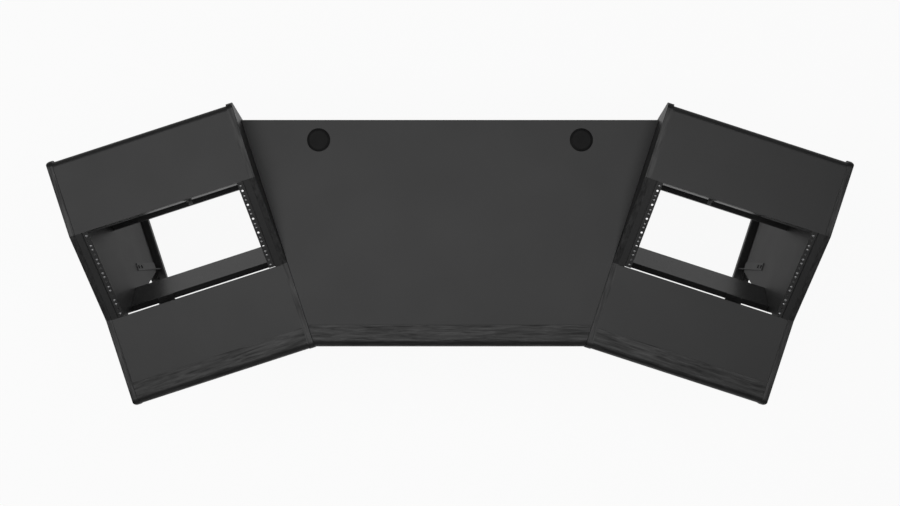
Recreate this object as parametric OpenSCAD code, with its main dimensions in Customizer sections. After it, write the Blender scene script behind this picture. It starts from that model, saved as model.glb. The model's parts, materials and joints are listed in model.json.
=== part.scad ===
// Studio desk: a trapezoid desktop between two side racks that turn in towards the seat.
// Each side rack has an armrest, a sloped rack bay and a raised monitor shelf on a T-shaped leg.
// Millimetres, +X right, +Y back, +Z up. The origin is on the floor below the middle of the desk.

/* [Desktop] */
// Height of the desktop and the armrests above the floor
desk_h = 750; // [700:1:800]
// Width of the desktop along its front edge
desk_front_w = 796.6; // [600:0.2:1100]
// Depth of the desktop from its front edge to its back edge
desk_depth = 669; // [600:1:720]
// Thickness of the desktop board and of the armrest boards
top_t = 25; // [19:0.5:28]
// Gap between each side edge of the desktop and the side rack
desk_gap = 0.5; // [0.3:0.1:0.9]
// Depth of the nosing strips along the front edges
nosing_depth = 65; // [50:1:80]
// Thickness of the nosing strips, twice the radius of their round nose
nosing_t = 31; // [28:0.5:36]
// Depth of the tongue that joins a nosing strip to its board
tongue_depth = 8; // [5:0.5:12]
// Thickness of that tongue
tongue_t = 8; // [5:0.5:10]
// Clearance round the tongue in its groove
tongue_gap = 0.15; // [0.1:0.05:0.3]

/* [Side racks] */
// Angle by which each side rack turns in towards the seat
wing_angle = 18; // [10:0.5:24]
// Height of the rack bay in rack units
rack_units = 6; // [5:1:7]
// Slope of the rack bay
rack_slope = 20; // [16:0.5:24]
// Clear width between the two panels of a rack bay
bay_w = 488; // [484:0.5:490]
// Thickness of the inner panels that carry the rack
panel_t = 19; // [16:0.5:22]
// Thickness of the cheeks that cover the panels
cheek_t = 18; // [16:0.5:22]
// Depth of an armrest from its front edge to the rack bay
armrest_depth = 261; // [230:1:280]
// Gap between the armrest and the rack bay
armrest_gap = 0.5; // [0.3:0.1:2]
// Depth of the raised monitor shelf
shelf_depth = 221; // [200:0.5:240]
// Thickness of the monitor shelf, twice the radius of its round back edge
shelf_t = 19; // [16:0.5:22]
// Length that a cheek stands out in front of the armrest
cheek_front_lip = 1.75; // [1:0.25:6]
// Length that a cheek stands out behind the monitor shelf
cheek_back_lip = 5.4; // [3:0.2:12]
// Radius of the upright corners of the outer cheek
cheek_corner_r = 12; // [6:0.5:16]

/* [Legs] */
// Height of the arm of a side panel at its front end
arm_h = 58; // [50:1:80]
// Height of the arm of a side panel where it meets the leg
arm_root_h = 124; // [110:1:135]
// Distance of a panel's front end behind the front of the nosing strip
panel_front = 22; // [16:1:30]
// Height of the upright back end of a cheek
back_end_h = 30; // [20:1:40]
// Lean of the leg's back edge below that end from upright
back_slant = 21; // [16:0.5:26]
// Distance from the back end of a cheek forwards to the upright back edge of the leg
leg_inset = 92.5; // [80:0.5:110]
// Length of the leg's front edge below the knee board, along the board's slope
knee_foot_drop = 18; // [12:1:30]
// Distance that the leg's front edge runs back from there down to the foot
leg_run = 43.5; // [30:0.5:60]
// Length of a foot
foot_len = 600; // [560:1:640]
// Distance of a foot's heel from the back end of its cheek
heel_inset = 22; // [15:1:40]
// Height of a foot's top face above the floor
foot_top = 45; // [42:1:60]
// Height of a panel's lower end above the floor
panel_end = 98; // [80:1:110]
// Height above that end at which a panel's front edge leaves the leg's front edge
shin_h = 146; // [120:1:170]
// Distance that the panel's front edge then runs back
shin_run = 37.5; // [20:0.5:50]
// Radius of the arm's lower front corner
arm_front_r = 28; // [15:1:35]
// Radius where the arm meets the leg's front edge
arm_root_r = 15; // [8:1:20]
// Radius of the gentle bends of a leg's edges
leg_bend_r = 140; // [80:5:180]
// Radius of the corners between a leg and its foot
instep_r = 12; // [6:1:20]
// Radius of a foot's upper corners
toe_r = 16; // [8:1:24]

/* [Rack rails] */
// Width of a rail's face with the equipment holes
rail_face_w = 19.2; // [18:0.2:20]
// Width of the rail's flange on the panel
rail_side_w = 30; // [20:1:34]
// Thickness of the rail steel
rail_t = 2.5; // [2:0.25:3]
// Length of a rail in front of its first rack unit
rail_front_margin = 3.5; // [3:0.1:6]
// Length of a rail behind its last rack unit
rail_back_margin = 6.4; // [3:0.1:8]
// Gap at each end of a rail
rail_end_gap = 0.5; // [0.3:0.1:0.8]
// Diameter of an equipment hole
rail_hole_d = 6.5; // [6:0.1:7]
// Clearance of an equipment screw in its hole
rack_screw_gap = 0.1; // [0.05:0.05:0.2]
// Diameter of an equipment screw's head
rack_head_d = 9.8; // [9:0.1:10.5]
// Height of an equipment screw's domed head
rack_head_h = 3.2; // [2.5:0.1:4]
// Length of an equipment screw below its head
rack_screw_len = 14; // [10:1:18]

/* [Boards inside] */
// Thickness of the knee board and the rear stretcher
board_t = 19; // [16:0.5:22]
// Lean of the knee board from upright
knee_lean = 25; // [20:0.5:28]
// Height of the knee board along its slope
knee_h = 137; // [110:1:150]
// Distance of the knee board's upper back corner behind the armrest board
knee_setback = 26.6; // [24:0.2:35]
// Depth of that corner below the desktop level
knee_drop = 185; // [170:1:200]
// Depth of the rear stretcher, front to back
stretcher_depth = 95; // [70:1:100]
// Distance of the stretcher's front edge behind the front of the monitor shelf
stretcher_setback = 14.5; // [10:0.5:20]
// Height of the stretcher's top face
stretcher_h = 487; // [460:1:520]
// Height of the apron under the front edge of the monitor shelf
apron_h = 45; // [36:1:60]
// Height of the modesty panel
modesty_h = 300; // [260:1:340]
// Distance of the modesty panel's back face from the back edge of the desktop
modesty_setback = 120; // [110:1:140]

/* [Steel parts] */
// Thickness of the foot rails, straps and brackets
steel_t = 3; // [2.5:0.25:4]
// Width of a foot rail's channel
channel_w = 34; // [33:1:42]
// Height of that channel
channel_h = 22; // [20:1:26]
// Width of the lip along the channel's free edge
channel_lip = 7; // [4:0.5:9]
// Distance from each end of a foot to its channel
channel_inset = 12; // [8:1:20]
// Width of the straps that tie a panel to its foot rail
strap_w = 25; // [20:1:30]
// Height of a strap's upper end above the floor
strap_top = 338; // [300:1:360]
// Distance of a strap from the edge of the panel's lower end
strap_inset = 7.5; // [4:0.5:10]
// Distance of the upper screw from the strap's upper end
strap_screw_inset = 19; // [12:1:25]
// Distance between a strap's two screws
strap_screw_pitch = 38; // [25:1:60]
// Distance that a strap's foot spreads to each side below the panel
strap_spread = 4.5; // [2:0.5:5]
// Width of the tie between the armrest board and the knee board
tie_w = 49; // [40:1:60]
// Distance of the tie from the middle of the bay, towards the outside
tie_offset = 133; // [60:1:160]
// Distance of the tie's back face in front of the armrest's back edge
tie_setback = 3; // [2:0.5:12]
// Length of the tie's flange under the armrest
tie_flange = 40; // [30:1:50]
// Width of the cable clip under the monitor shelf
clip_w = 12; // [11:0.5:18]
// Thickness of the clip's steel
clip_t = 2; // [1.5:0.25:2.5]
// Distance of the clip from the middle of the bay, towards the desktop
clip_offset = 68.5; // [40:0.5:120]
// Height of the clip's back above the shelf's underside
clip_rise = 12; // [6:1:16]
// Height of the clip's hook below the apron
clip_drop = 10; // [6:1:16]
// Clear depth of the clip's hook
clip_hook = 8; // [5:0.5:12]
// Width of the angle brackets' flanges under the desktop
angle_w = 40; // [34:1:46]
// Distance of the angle bracket under each side of the desktop from the desktop's front corner
angle_start = 130; // [110:1:150]
// Clear distance between that bracket and the corner bracket behind it
angle_gap = 11; // [6:1:20]
// Distance of the angle brackets' bolts from the corner between the flanges
angle_bolt_inset = 24; // [20:1:26]
// Distance of the outermost bolts from the ends of the angle bracket
angle_end_inset = 50; // [30:1:70]
// Height of the corner brackets of the modesty panel
corner_h = 60; // [50:1:70]
// Distance of those brackets from the modesty panel's upper and lower edge
corner_inset = 15; // [10:1:30]

/* [Fasteners] */
// Diameter of the bolts and screws in the boards
bolt_d = 6; // [5:0.5:7]
// Clearance of a bolt in its hole
bolt_gap = 0.1; // [0.05:0.05:0.2]
// Diameter of a bolt's head
bolt_head_d = 12; // [10:0.5:14]
// Height of a bolt's head
bolt_head_h = 3; // [2.5:0.5:4]
// Depth that a bolt reaches into the last board
bolt_bite = 12; // [8:0.5:14]
// Distance of the panel bolts from a board's edge; bolts in the leg keep twice this distance
bolt_inset = 25; // [22:1:30]
// Distance of the outermost foot rail bolts from the ends of the foot rail
foot_bolt_inset = 90; // [70:1:120]

/* [Levelling feet] */
// Diameter of a levelling foot's pad
pad_d = 26; // [22:1:30]
// Height of that pad
pad_h = 8; // [6:0.5:10]
// Width across the flats of the foot's nut
nut_w = 13; // [11:0.5:15]
// Height of the nut
nut_h = 5.7; // [5:0.1:7]
// Diameter of the threaded stem
stem_d = 8; // [6:0.5:10]
// Clearance of the stem in its hole
stem_gap = 0.05; // [0.03:0.01:0.08]
// Length of the stem above the nut
stem_len = 28; // [22:1:36]
// Gap between the nut and the foot rail with the foot screwed in
nut_gap = 0.3; // [0.2:0.1:0.5]
// Distance of a levelling foot from the end of its foot rail
glide_inset = 40; // [30:1:60]

/* [Cable grommets] */
// Diameter of a grommet's flange
grommet_d = 68; // [66:1:74]
// Depth of the rebate that takes the flange's rim
grommet_rim = 1; // [0.8:0.1:2]
// Height of the flange above the desktop
grommet_rise = 2; // [1.5:0.25:3]
// Width of the flat land round the cap
grommet_land = 0.6; // [0.4:0.1:1]
// Diameter of the hole in the desktop
grommet_hole_d = 60; // [56:1:62]
// Clearance of the sleeve in that hole and of the rim in its rebate
grommet_gap = 0.2; // [0.1:0.1:0.4]
// Wall of the sleeve and of the cap's skirt
grommet_wall = 2.5; // [2:0.25:3]
// Width of the seat on which the cap's rim rests
cap_seat = 1.7; // [1.4:0.1:2]
// Thickness of the cap's disc
cap_t = 1.6; // [1.2:0.1:1.9]
// Width of the chamfer round the cap
cap_chamfer = 1.8; // [1:0.1:2.4]
// Height of that chamfer
cap_chamfer_h = 0.8; // [0.5:0.1:1]
// Depth of the cap's skirt in the sleeve
cap_skirt = 9; // [6:1:12]
// Clearance of the cap in the sleeve
cap_gap = 0.08; // [0.05:0.01:0.1]
// Distance of a grommet's centre from the middle of the desktop
grommet_x = 387; // [340:1:420]
// Distance of a grommet's centre from the back edge of the desktop
grommet_setback = 59; // [50:1:66]

/* [Hidden] */
$fn = 48;

// Finishes
laminate = [0.25, 0.25, 0.26];
stained_wood = [0.17, 0.17, 0.18];
black_steel = [0.13, 0.13, 0.14];
zinc = [0.55, 0.56, 0.58];
black_plastic = [0.10, 0.10, 0.11];

LEFT = -1;
RIGHT = 1;

// The equipment rack standard: one unit, the holes in it and the two hole columns
rack_unit = 44.45;
unit_holes = [6.35, 22.225, 38.1];
hole_columns = 465.1;

// Places across a side rack, from the face beside the desktop outwards
wing_w = 2 * (cheek_t + panel_t) + bay_w;
bay_x0 = cheek_t + panel_t;
bay_mid = wing_w / 2;

// Places along a side rack, from the front edge of its armrest backwards
slope_len = rail_front_margin + rack_units * rack_unit + rail_back_margin;
slope_y0 = armrest_depth + armrest_gap;
slope_y1 = slope_y0 + slope_len * cos(rack_slope);
shelf_z = desk_h + slope_len * sin(rack_slope);
shelf_under = shelf_z - shelf_t;
shelf_y1 = slope_y1 + shelf_depth;
cheek_front = -cheek_front_lip;
cheek_back = shelf_y1 + cheek_back_lip;
leg_back = cheek_back - leg_inset;
waist_z = shelf_z - back_end_h - leg_inset / tan(back_slant);
desk_under = desk_h - top_t;

// The floor gap, and the foot with its channel
foot_z = pad_h + nut_h + nut_gap;
heel_y = cheek_back - heel_inset;
toe_y = heel_y - foot_len;
channel_y0 = toe_y + channel_inset;
channel_y1 = heel_y - channel_inset;

// The knee board's upper back corner, and the directions down along the board and out of its front
knee_y = armrest_depth + knee_setback;
knee_z = desk_h - knee_drop;
knee_along = [sin(knee_lean), -cos(knee_lean)];
knee_out = [-cos(knee_lean), -sin(knee_lean)];

// Corners of the leg's front edge, which lies flush with the knee board's front
knee_top = [knee_y, knee_z] + knee_out * board_t;
knee_foot = knee_top + knee_along * (knee_h + knee_foot_drop);
arm_root = [knee_top.x, desk_h - arm_root_h];
instep = [knee_foot.x + leg_run, foot_top];
shin_z = panel_end + shin_h;
shin = [knee_foot.x + leg_run * (knee_foot.y - shin_z) / (knee_foot.y - foot_top), shin_z];
ankle = [shin.x + shin_run, panel_end];

stretcher_y = slope_y1 + stretcher_setback;
modesty_front = desk_depth - modesty_setback - board_t;
modesty_corner = modesty_front / cos(wing_angle);
angle_len = modesty_corner - angle_w - angle_gap - angle_start;
tie_y = armrest_depth - tie_setback;

// Radii of a cable grommet
sleeve_r = grommet_hole_d / 2 - grommet_gap;
sleeve_bore_r = sleeve_r - grommet_wall;
cap_r = sleeve_bore_r + cap_seat - cap_gap;
skirt_r = sleeve_bore_r - cap_gap;

// The front edge of the desktop, set so that the whole desk is centred front to back
desk_front_y = -(
    cheek_back * cos(wing_angle)
    - (wing_w - cheek_corner_r) * sin(wing_angle)
    + (cheek_front + cheek_corner_r) * cos(wing_angle)
    - cheek_corner_r
) / 2;
desk_back_y = desk_front_y + desk_depth;

// Places of the fasteners, as [distance from the armrest's front edge, height]
panel_bolt_places = [
    [nosing_depth + bolt_inset, desk_under - bolt_inset],
    [slope_y0 - 2 * bolt_inset, desk_under - bolt_inset],
    [leg_back - 2 * bolt_inset, shelf_under - 2 * bolt_inset],
    [leg_back - 2 * bolt_inset, (desk_under + stretcher_h) / 2],
    [leg_back - 2 * bolt_inset, strap_top],
    [leg_back - 2 * bolt_inset, panel_end + bolt_inset]
];
board_screw_places = [
    knee_top - knee_out * board_t / 2 + knee_along * bolt_inset,
    knee_top - knee_out * board_t / 2 + knee_along * (knee_h - bolt_inset),
    [stretcher_y + bolt_inset, stretcher_h - board_t / 2],
    [stretcher_y + stretcher_depth - bolt_inset, stretcher_h - board_t / 2],
    [slope_y1 + board_t / 2, shelf_under - apron_h / 2]
];
angle_bolts = [
    angle_start + angle_end_inset,
    angle_start + angle_len / 2,
    angle_start + angle_len - angle_end_inset
];
strap_places = [ankle.x + strap_inset, leg_back - strap_inset - strap_w];
strap_screw_heights = [strap_top - strap_screw_inset, strap_top - strap_screw_inset - strap_screw_pitch];
corner_heights = [desk_under - modesty_h + corner_inset, desk_under - corner_h - corner_inset];
rail_screw_units = [0.5, rack_units / 2, rack_units - 0.5];

// Length by which a cutter stands out of the piece that it cuts
cut = 1;

// Unit vector of v
function unit(v) = v / norm(v);

// Points of an arc of radius r that rounds the corner p between its neighbours a and b
function corner_arc(p, a, b, r, steps = 8) =
    let (
        u = unit(a - p),
        v = unit(b - p),
        half = acos(u * v) / 2,
        centre = p + unit(u + v) * r / sin(half),
        first = p + u * r / tan(half) - centre,
        last = p + v * r / tan(half) - centre,
        start = atan2(first.y, first.x),
        turn = (atan2(last.y, last.x) - start + 540) % 360 - 180
    )
    [for (i = [0 : steps]) centre + r * [cos(start + turn * i / steps), sin(start + turn * i / steps)]];

// Outline through corners given as [y, z, radius]; a radius of 0 keeps the corner sharp
function outline(corners) =
    let (n = len(corners))
    [
        for (i = [0 : n - 1])
            let (
                p = [corners[i].x, corners[i].y],
                a = [corners[(i + n - 1) % n].x, corners[(i + n - 1) % n].y],
                b = [corners[(i + 1) % n].x, corners[(i + 1) % n].y]
            )
            each corners[i].z > 0 ? corner_arc(p, a, b, corners[i].z) : [p]
    ];

// Half the width between the two side racks, at a distance behind the desktop's front edge
function half_width(depth) = desk_front_w / 2 + depth * tan(wing_angle);

// Puts a piece of the right side rack in its place, or its mirror image on the left
module on_side(side) {
    if (side == RIGHT)
        translate([desk_front_w / 2, desk_front_y, 0])
            rotate([0, 0, -wing_angle])
                children();
    else
        mirror([1, 0, 0])
            translate([desk_front_w / 2, desk_front_y, 0])
                rotate([0, 0, -wing_angle])
                    children();
}

// Turns an outline of [y, z] points into a plate that starts at x and is t thick
module plate(x, t) {
    translate([x, 0, 0])
        rotate([90, 0, 90])
            linear_extrude(t)
                children();
}

// Copies an inner half to the other panel of the same side rack
module across_bay(outer) {
    if (outer)
        translate([wing_w, 0, 0])
            mirror([1, 0, 0])
                children();
    else
        children();
}

// The slope of the rack bay: x across, y up the slope, z out of it
module on_slope() {
    translate([0, slope_y0, desk_h])
        rotate([rack_slope, 0, 0])
            children();
}

// A bolt whose head sits on z = 0 and whose shank points along +Z
module bolt(length, head_h = bolt_head_h) {
    cylinder(d = bolt_d, h = length);
    translate([0, 0, -head_h])
        cylinder(d = bolt_head_d, h = head_h);
}

// The hole of such a bolt
module bolt_hole(length) {
    translate([0, 0, -cut])
        cylinder(d = bolt_d + 2 * bolt_gap, h = cut + length + bolt_gap);
}

// Nosing strip of the given length along +X: round nose, flat top and a tongue behind
module nosing_strip(length) {
    nose_r = nosing_t / 2;
    rotate([90, 0, 90])
        linear_extrude(length) {
            translate([nose_r, desk_h - nose_r])
                circle(r = nose_r);
            translate([nose_r, desk_h - nosing_t])
                square([nosing_depth - nose_r, nosing_t]);
            translate([nose_r, desk_h - top_t / 2 - tongue_t / 2])
                square([nosing_depth - nose_r + tongue_depth, tongue_t]);
        }
}

// Groove for that tongue in the front edge of a board
module tongue_groove(length) {
    rotate([90, 0, 90])
        linear_extrude(length)
            translate([nosing_depth - cut, desk_h - top_t / 2 - tongue_t / 2 - tongue_gap])
                square([cut + tongue_depth + tongue_gap, tongue_t + 2 * tongue_gap]);
}

// Plan of the space between the two side racks, from one depth behind the front edge to another
module between_wings(from, to, gap) {
    polygon([
        [-half_width(from) + gap, desk_front_y + from],
        [half_width(from) - gap, desk_front_y + from],
        [half_width(to) - gap, desk_front_y + to],
        [-half_width(to) + gap, desk_front_y + to]
    ]);
}

// Desktop

module desktop() {
    color(laminate)
        difference() {
            translate([0, 0, desk_under])
                linear_extrude(top_t)
                    between_wings(nosing_depth, desk_depth, desk_gap);
            translate([-wing_w * 2, desk_front_y, 0])
                tongue_groove(wing_w * 4);
            for (side = [LEFT, RIGHT]) {
                at_grommet(side) {
                    translate([0, 0, -top_t - cut])
                        cylinder(d = grommet_hole_d, h = top_t + 2 * cut);
                    translate([0, 0, -grommet_rim])
                        cylinder(d = grommet_d + 2 * grommet_gap, h = grommet_rim + cut);
                }
                on_side(side)
                    desk_screw_places()
                        bolt_hole(steel_t + bolt_bite);
            }
        }
}

module desktop_nosing() {
    color(stained_wood)
        intersection() {
            translate([-half_width(desk_depth), desk_front_y, 0])
                nosing_strip(2 * half_width(desk_depth));
            linear_extrude(desk_h + cut)
                between_wings(-cut, nosing_depth + tongue_depth + cut, desk_gap);
        }
}

// Modesty panel

module modesty_panel() {
    color(laminate)
        difference() {
            translate([0, 0, desk_under - modesty_h])
                linear_extrude(modesty_h)
                    between_wings(modesty_front, modesty_front + board_t, desk_gap);
            for (side = [LEFT, RIGHT])
                modesty_panel_bolts(side)
                    bolt_hole(steel_t + bolt_bite);
        }
}

// The corner where the modesty panel meets a side rack, at the height of each corner bracket
module modesty_corners(side) {
    for (z = corner_heights)
        mirror([side == LEFT ? 1 : 0, 0, 0])
            translate([half_width(modesty_front), desk_front_y + modesty_front, z])
                children();
}

module modesty_panel_bolts(side) {
    modesty_corners(side)
        translate([-angle_bolt_inset, -steel_t, corner_h / 2])
            rotate([-90, 0, 0])
                children();
}

// The corner brackets' bolts in the inner cheek, in the frame of the side rack
module modesty_cheek_bolts() {
    for (z = corner_heights)
        translate([-steel_t, modesty_corner - angle_bolt_inset, z + corner_h / 2])
            rotate([0, 90, 0])
                children();
}

// A point of the flange on the side rack, turned with that rack
function turned(p) = [
    p.x * cos(wing_angle) + p.y * sin(wing_angle),
    -p.x * sin(wing_angle) + p.y * cos(wing_angle)
];

module modesty_brackets() {
    inner_corner = steel_t * (1 + sin(wing_angle)) / cos(wing_angle);
    color(black_steel)
        for (side = [LEFT, RIGHT])
            difference() {
                modesty_corners(side)
                    linear_extrude(corner_h)
                        polygon([
                            [0, 0],
                            [-angle_w, 0],
                            [-angle_w, -steel_t],
                            [-inner_corner, -steel_t],
                            turned([-steel_t, -angle_w]),
                            turned([0, -angle_w])
                        ]);
                modesty_panel_bolts(side)
                    bolt_hole(steel_t);
                on_side(side)
                    modesty_cheek_bolts()
                        bolt_hole(steel_t);
            }
}

module modesty_screws() {
    color(zinc)
        for (side = [LEFT, RIGHT]) {
            modesty_panel_bolts(side)
                bolt(steel_t + bolt_bite);
            on_side(side)
                modesty_cheek_bolts()
                    bolt(steel_t + bolt_bite);
        }
}

// Angle brackets that carry the desktop on the side racks

module desk_screw_places() {
    for (y = angle_bolts)
        translate([-angle_bolt_inset, y, desk_under - steel_t])
            children();
}

module desk_cheek_bolt_places() {
    for (y = angle_bolts)
        translate([-steel_t, y, desk_under - angle_bolt_inset])
            rotate([0, 90, 0])
                children();
}

module desk_bracket() {
    color(black_steel)
        difference() {
            translate([0, angle_start + angle_len, desk_under])
                rotate([90, 0, 0])
                    linear_extrude(angle_len)
                        polygon([
                            [0, 0],
                            [-angle_w, 0],
                            [-angle_w, -steel_t],
                            [-steel_t, -steel_t],
                            [-steel_t, -angle_w],
                            [0, -angle_w]
                        ]);
            desk_screw_places()
                bolt_hole(steel_t);
            desk_cheek_bolt_places()
                bolt_hole(steel_t);
        }
}

module desk_screws() {
    color(zinc)
        for (side = [LEFT, RIGHT])
            on_side(side) {
                desk_screw_places()
                    bolt(steel_t + bolt_bite);
                desk_cheek_bolt_places()
                    bolt(steel_t + bolt_bite);
            }
}

// Cable grommets

module at_grommet(side) {
    translate([side * grommet_x, desk_back_y - grommet_setback, desk_h])
        children();
}

// The sleeve's rim lies in a rebate of the desktop, and its flange slopes up to the cap's edge
module grommet_sleeve() {
    rim_r = grommet_d / 2;
    seat_r = cap_r + cap_gap;
    color(black_plastic)
        rotate_extrude()
            polygon([
                [sleeve_bore_r, -top_t],
                [sleeve_r, -top_t],
                [sleeve_r, -grommet_rim],
                [rim_r, -grommet_rim],
                [rim_r, 0],
                [seat_r + grommet_land, grommet_rise],
                [seat_r, grommet_rise],
                [seat_r, grommet_rise - cap_t],
                [sleeve_bore_r, grommet_rise - cap_t]
            ]);
}

module grommet_cap() {
    under = grommet_rise - cap_t + cap_gap;
    color(black_plastic)
        rotate_extrude()
            polygon([
                [0, under],
                [skirt_r - grommet_wall, under],
                [skirt_r - grommet_wall, grommet_rise - cap_skirt],
                [skirt_r, grommet_rise - cap_skirt],
                [skirt_r, under],
                [cap_r, under],
                [cap_r, grommet_rise - cap_chamfer_h],
                [cap_r - cap_chamfer, grommet_rise],
                [0, grommet_rise]
            ]);
}

// Cheeks and panels of a side rack

function cheek_outline() = outline([
    [cheek_front, desk_h, 0],
    [slope_y0, desk_h, 0],
    [slope_y1, shelf_z, 0],
    [cheek_back, shelf_z, 0],
    [cheek_back, shelf_z - back_end_h, 0],
    [leg_back, waist_z, leg_bend_r],
    [leg_back, foot_top, instep_r],
    [heel_y, foot_top, toe_r],
    [heel_y, foot_z, 0],
    [toe_y, foot_z, 0],
    [toe_y, foot_top, toe_r],
    [instep.x, instep.y, instep_r],
    [knee_foot.x, knee_foot.y, leg_bend_r],
    [knee_top.x, knee_top.y, arm_root_r],
    [arm_root.x, arm_root.y, arm_root_r],
    [cheek_front, desk_h - arm_h, arm_front_r]
]);

// Height of the arm's lower edge, at a distance behind the armrest's front edge
function arm_z(y) = desk_h - arm_h - (arm_root_h - arm_h) * (y - cheek_front) / (arm_root.x - cheek_front);

// The panel follows the cheek's leg, under the armrest board and the monitor shelf
function panel_outline() = outline([
    [panel_front, desk_h - nosing_t, 0],
    [nosing_depth + tongue_depth, desk_h - nosing_t, 0],
    [nosing_depth + tongue_depth, desk_under, 0],
    [armrest_depth, desk_under, 0],
    [armrest_depth, desk_h, 0],
    [slope_y0, desk_h, 0],
    [slope_y1, shelf_z, 0],
    [slope_y1, shelf_under, 0],
    [shelf_y1 - shelf_t, shelf_under, 0],
    [leg_back, waist_z, leg_bend_r],
    [leg_back, panel_end, 0],
    [ankle.x, ankle.y, instep_r],
    [shin.x, shin.y, leg_bend_r],
    [knee_foot.x, knee_foot.y, leg_bend_r],
    [knee_top.x, knee_top.y, arm_root_r],
    [arm_root.x, arm_root.y, arm_root_r],
    [panel_front, arm_z(panel_front), 0]
]);

// Upright corner of radius r between x = 0 and y = 0, to cut away
module corner_cutter(r, length) {
    linear_extrude(length)
        difference() {
            translate([-r, -r])
                square(r + cut);
            translate([-r, -r])
                circle(r = r);
        }
}

module inner_cheek() {
    color(stained_wood)
        difference() {
            plate(0, cheek_t)
                polygon(cheek_outline());
            cheek_holes();
            desk_cheek_bolt_places()
                bolt_hole(steel_t + bolt_bite);
            modesty_cheek_bolts()
                bolt_hole(steel_t + bolt_bite);
        }
}

module outer_cheek() {
    color(stained_wood)
        difference() {
            plate(wing_w - cheek_t, cheek_t)
                polygon(cheek_outline());
            translate([wing_w, cheek_front, 0])
                mirror([0, 1, 0])
                    corner_cutter(cheek_corner_r, desk_h + cut);
            translate([wing_w, cheek_back, 0])
                corner_cutter(cheek_corner_r, shelf_z + cut);
            across_bay(true)
                cheek_holes();
        }
}

// Holes for the panel bolts and the foot rail bolts in a cheek
module cheek_holes() {
    panel_bolt_frames()
        bolt_hole(panel_t + bolt_bite - bolt_head_h);
    foot_bolt_frames()
        bolt_hole(steel_t + bolt_bite);
}

// Each panel bolt points from the bay into the cheek, its head let into the panel
module panel_bolt_frames() {
    for (p = panel_bolt_places)
        translate([bay_x0 - bolt_head_h, p.x, p.y])
            rotate([0, -90, 0])
                children();
}

// Each board screw points from the panel's outer face into the end of a board in the bay
module board_screw_frames() {
    for (p = board_screw_places)
        translate([cheek_t + bolt_head_h, p.x, p.y])
            rotate([0, 90, 0])
                children();
}

module foot_bolt_frames() {
    for (y = [channel_y0 + foot_bolt_inset, (channel_y0 + channel_y1) / 2, channel_y1 - foot_bolt_inset])
        translate([cheek_t + steel_t, y, foot_z + channel_h / 2])
            rotate([0, -90, 0])
                children();
}

module strap_screw_frames() {
    for (y = strap_places, z = strap_screw_heights)
        translate([bay_x0 + steel_t, y + strap_w / 2, z])
            rotate([0, -90, 0])
                children();
}

module rail_screw_frames() {
    on_slope()
        for (u = rail_screw_units)
            translate([bay_x0 + rail_t, rail_front_margin + u * rack_unit, -(rail_t + rail_side_w) / 2])
                rotate([0, -90, 0])
                    children();
}

// A recess for a bolt's head, on the head's side of z = 0
module head_recess() {
    translate([0, 0, -bolt_head_h])
        cylinder(d = bolt_head_d + 2 * bolt_gap, h = bolt_head_h);
}

module side_panel(outer) {
    color(laminate)
        across_bay(outer)
            difference() {
                plate(cheek_t, panel_t)
                    polygon(panel_outline());
                panel_bolt_frames() {
                    bolt_hole(panel_t);
                    head_recess();
                }
                board_screw_frames() {
                    bolt_hole(panel_t);
                    head_recess();
                }
                strap_screw_frames()
                    bolt_hole(steel_t + bolt_bite);
                rail_screw_frames()
                    bolt_hole(rail_t + bolt_bite);
            }
}

module panel_bolts() {
    color(black_steel)
        for (outer = [false, true])
            across_bay(outer) {
                panel_bolt_frames()
                    bolt(panel_t + bolt_bite - bolt_head_h);
                board_screw_frames()
                    bolt(panel_t + bolt_bite - bolt_head_h);
                foot_bolt_frames()
                    bolt(steel_t + bolt_bite);
            }
}

// Boards of a side rack

module monitor_shelf() {
    edge_r = shelf_t / 2;
    color(laminate)
        plate(cheek_t, wing_w - 2 * cheek_t) {
            translate([slope_y1, shelf_under])
                square([shelf_depth - edge_r, shelf_t]);
            translate([shelf_y1 - edge_r, shelf_z - edge_r])
                circle(r = edge_r);
        }
}

// Holes of the board screws in the ends of a board between the panels
module board_end_holes() {
    for (outer = [false, true])
        across_bay(outer)
            board_screw_frames()
                bolt_hole(panel_t + bolt_bite - bolt_head_h);
}

// Apron across the bay, flush with the front edge of the monitor shelf above it
module shelf_apron() {
    color(laminate)
        difference() {
            translate([bay_x0, slope_y1, shelf_under - apron_h])
                cube([bay_w, board_t, apron_h]);
            board_end_holes();
            clip_screw_frame()
                bolt_hole(clip_t + bolt_bite);
        }
}

module armrest() {
    color(laminate)
        difference() {
            translate([cheek_t, nosing_depth, desk_under])
                cube([wing_w - 2 * cheek_t, armrest_depth - nosing_depth, top_t]);
            tongue_groove(wing_w);
            tie_screw_frame()
                bolt_hole(steel_t + bolt_bite);
        }
}

module armrest_nosing() {
    color(stained_wood)
        translate([cheek_t, 0, 0])
            nosing_strip(wing_w - 2 * cheek_t);
}

// The knee board's own frame: y down along its back face, z out of that face
module on_knee_board() {
    translate([0, knee_y, knee_z])
        rotate([knee_lean - 90, 0, 0])
            children();
}

module knee_board() {
    color(laminate)
        difference() {
            on_knee_board()
                translate([bay_x0, 0, -board_t])
                    cube([bay_w, knee_h, board_t]);
            board_end_holes();
            tie_lower_screw_frame()
                bolt_hole(steel_t + bolt_bite);
        }
}

module stretcher() {
    color(laminate)
        difference() {
            translate([bay_x0, stretcher_y, stretcher_h - board_t])
                cube([bay_w, stretcher_depth, board_t]);
            board_end_holes();
        }
}

// Steel tie from the underside of the armrest board down to the top edge of the knee board

// Height of a plane that lies a distance above the knee board's sloped top edge
function over_knee_edge(y, lift) = knee_z + lift / cos(knee_lean) + (y - knee_y) * tan(knee_lean);

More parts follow.
